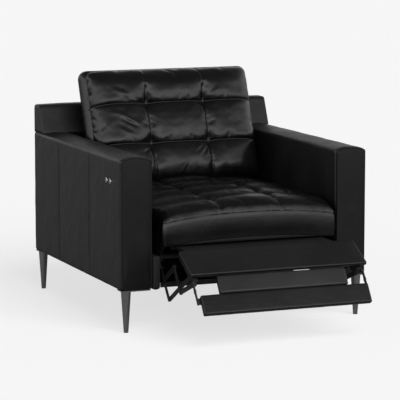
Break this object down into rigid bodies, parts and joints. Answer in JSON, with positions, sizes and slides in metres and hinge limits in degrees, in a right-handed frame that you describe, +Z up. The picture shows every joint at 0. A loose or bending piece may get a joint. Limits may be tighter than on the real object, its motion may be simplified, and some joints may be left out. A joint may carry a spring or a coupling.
{
  "type": "recliner chair",
  "caption": "Black leather power recliner with square arms, tufted seat and back, round tapered legs and a folding footrest carried on open bar linkages.",
  "frame": {"origin": "on the floor, midway across the arms and midway between the front of the part-open footrest and the back of the chair", "axes": "+Z up; -Y the way the sitter faces; +X to the sitter's left, so the buttons are on the -X arm"},
  "size_m": [1.0035, 1.4312, 0.8982],
  "materials": {
    "black_plastic": "moulded, fine texture",
    "zinc_steel": "bright zinc plate",
    "black_steel": "black powder coat, satin",
    "leather": "soft black leather, semi-matt",
    "wood": "plain sawn timber",
    "board_leather": "black leather over a padded board",
    "button_chrome": "polished chrome",
    "rail_cloth": "black woven cover over a timber rail",
    "leg_chrome": "dark chrome, polished",
    "nylon": "natural nylon"
  },
  "bodies": {
    "frame": {"arm_front_panel_left": "leather", "arm_front_panel_right": "leather", "arm_left": "leather", "arm_right": "leather", "back_frame": "leather", "base_tray": "black_steel", "cross_rail_middle": "rail_cloth", "cross_rail_rear": "rail_cloth", "leg_front_left": "leg_chrome", "leg_front_right": "leg_chrome", "leg_rear_left": "leg_chrome", "leg_rear_right": "leg_chrome", "side_rail_left": "rail_cloth", "side_rail_right": "rail_cloth", "slide_channel_left": "black_steel", "slide_channel_right": "black_steel", "switch_housing": "black_plastic"},
    "carriage": {"actuator_housing": "black_plastic", "actuator_tube": "black_steel", "deck_tube_front": "black_steel", "deck_tube_rear": "black_steel", "seat_cushion": "leather", "seat_front_band": "leather", "seat_plate_left": "black_steel", "seat_plate_right": "black_steel", "seat_spring_1": "zinc_steel", "seat_spring_2": "zinc_steel", "seat_spring_3": "zinc_steel", "seat_spring_4": "zinc_steel", "slide_shoe_left": "nylon", "slide_shoe_right": "nylon"},
    "back": {"back_bracket_left": "black_steel", "back_bracket_right": "black_steel", "back_cushion": "leather", "back_panel": "wood"},
    "drive": {"drive_link_left": "black_steel", "drive_link_right": "black_steel", "torque_tube": "black_steel"},
    "front_links": {"front_link_left": "black_steel", "front_link_right": "black_steel"},
    "cross_links": {"cross_link_left": "black_steel", "cross_link_right": "black_steel"},
    "rockers": {"rocker_link_left": "black_steel", "rocker_link_right": "black_steel"},
    "control_links": {"control_link_left": "black_steel", "control_link_right": "black_steel"},
    "footrest": {"footrest_bracket_left": "black_steel", "footrest_bracket_right": "black_steel", "footrest_main_board": "board_leather"},
    "flap": {"flip_arm_left": "black_steel", "flip_arm_right": "black_steel", "footrest_front_board": "board_leather", "footrest_upper_flap": "board_leather"},
    "bridge": {"bridge_panel": "board_leather"},
    "rod": {"actuator_rod": "zinc_steel"},
    "open_button": {"button_open": "button_chrome"},
    "close_button": {"button_close": "button_chrome"}
  },
  "joints": [
    {"name": "seat_slide", "type": "slide", "parent": "frame", "child": "carriage", "axis": [0, -1, 0], "range_m": [0, 0.15]},
    {"name": "back_recline", "type": "hinge", "parent": "carriage", "child": "back", "pos_m": [0, 0.47106, 0.325], "axis": [-1, 0, 0], "range_deg": [0, 22.01]},
    {"name": "footrest_drive", "type": "hinge", "parent": "carriage", "child": "drive", "pos_m": [0, -0.21554, 0.2653], "axis": [-1, 0, 0], "range_deg": [-101.07, 24.45]},
    {"name": "front_link_knee", "type": "hinge", "parent": "drive", "child": "front_links", "pos_m": [0, -0.32993, 0.12195], "axis": [-1, 0, 0], "range_deg": [-20.26, 83.72]},
    {"name": "cross_link_pivot", "type": "hinge", "parent": "drive", "child": "cross_links", "pos_m": [0, -0.27536, 0.19034], "axis": [-1, 0, 0], "range_deg": [-20.26, 83.72]},
    {"name": "rocker_pivot", "type": "hinge", "parent": "front_links", "child": "rockers", "pos_m": [0, -0.43492, 0.1831], "axis": [-1, 0, 0], "range_deg": [-83.72, 20.26]},
    {"name": "control_link_pivot", "type": "hinge", "parent": "rockers", "child": "control_links", "pos_m": [0, -0.45721, 0.16991], "axis": [-1, 0, 0], "range_deg": [-19.7, 81.38]},
    {"name": "footrest_pivot", "type": "hinge", "parent": "front_links", "child": "footrest", "pos_m": [0, -0.55287, 0.25181], "axis": [-1, 0, 0], "range_deg": [-44.65, 10.81]},
    {"name": "flap_hinge", "type": "hinge", "parent": "footrest", "child": "flap", "pos_m": [0, -0.61572, 0.23368], "axis": [-1, 0, 0], "range_deg": [-60.51, 14.65]},
    {"name": "bridge_slide", "type": "slide", "parent": "carriage", "child": "bridge", "axis": [0, -1, 0], "range_m": [-0.1701, 0.04123]},
    {"name": "actuator_stroke", "type": "slide", "parent": "carriage", "child": "rod", "axis": [0, -1, 0], "range_m": [-0.05847, 0.01422]},
    {"name": "open_button_press", "type": "slide", "parent": "frame", "child": "open_button", "axis": [1, 0, 0], "range_m": [0, 0.002], "stiffness_N_per_m": 400},
    {"name": "close_button_press", "type": "slide", "parent": "frame", "child": "close_button", "axis": [1, 0, 0], "range_m": [0, 0.002], "stiffness_N_per_m": 400}
  ],
  "couplings": [
    {"joint": "back_recline", "follows": "seat_slide", "rad_per_m": 2.5598},
    {"joint": "front_link_knee", "follows": "footrest_drive", "ratio": -0.82824},
    {"joint": "cross_link_pivot", "follows": "footrest_drive", "ratio": -0.82824},
    {"joint": "rocker_pivot", "follows": "footrest_drive", "ratio": 0.82824},
    {"joint": "control_link_pivot", "follows": "footrest_drive", "ratio": -0.80505},
    {"joint": "footrest_pivot", "follows": "footrest_drive", "ratio": 0.44166},
    {"joint": "flap_hinge", "follows": "footrest_drive", "ratio": 0.59858},
    {"joint": "bridge_slide", "follows": "footrest_drive", "m_per_rad": 0.09637},
    {"joint": "actuator_stroke", "follows": "footrest_drive", "m_per_rad": 0.03309}
  ]
}
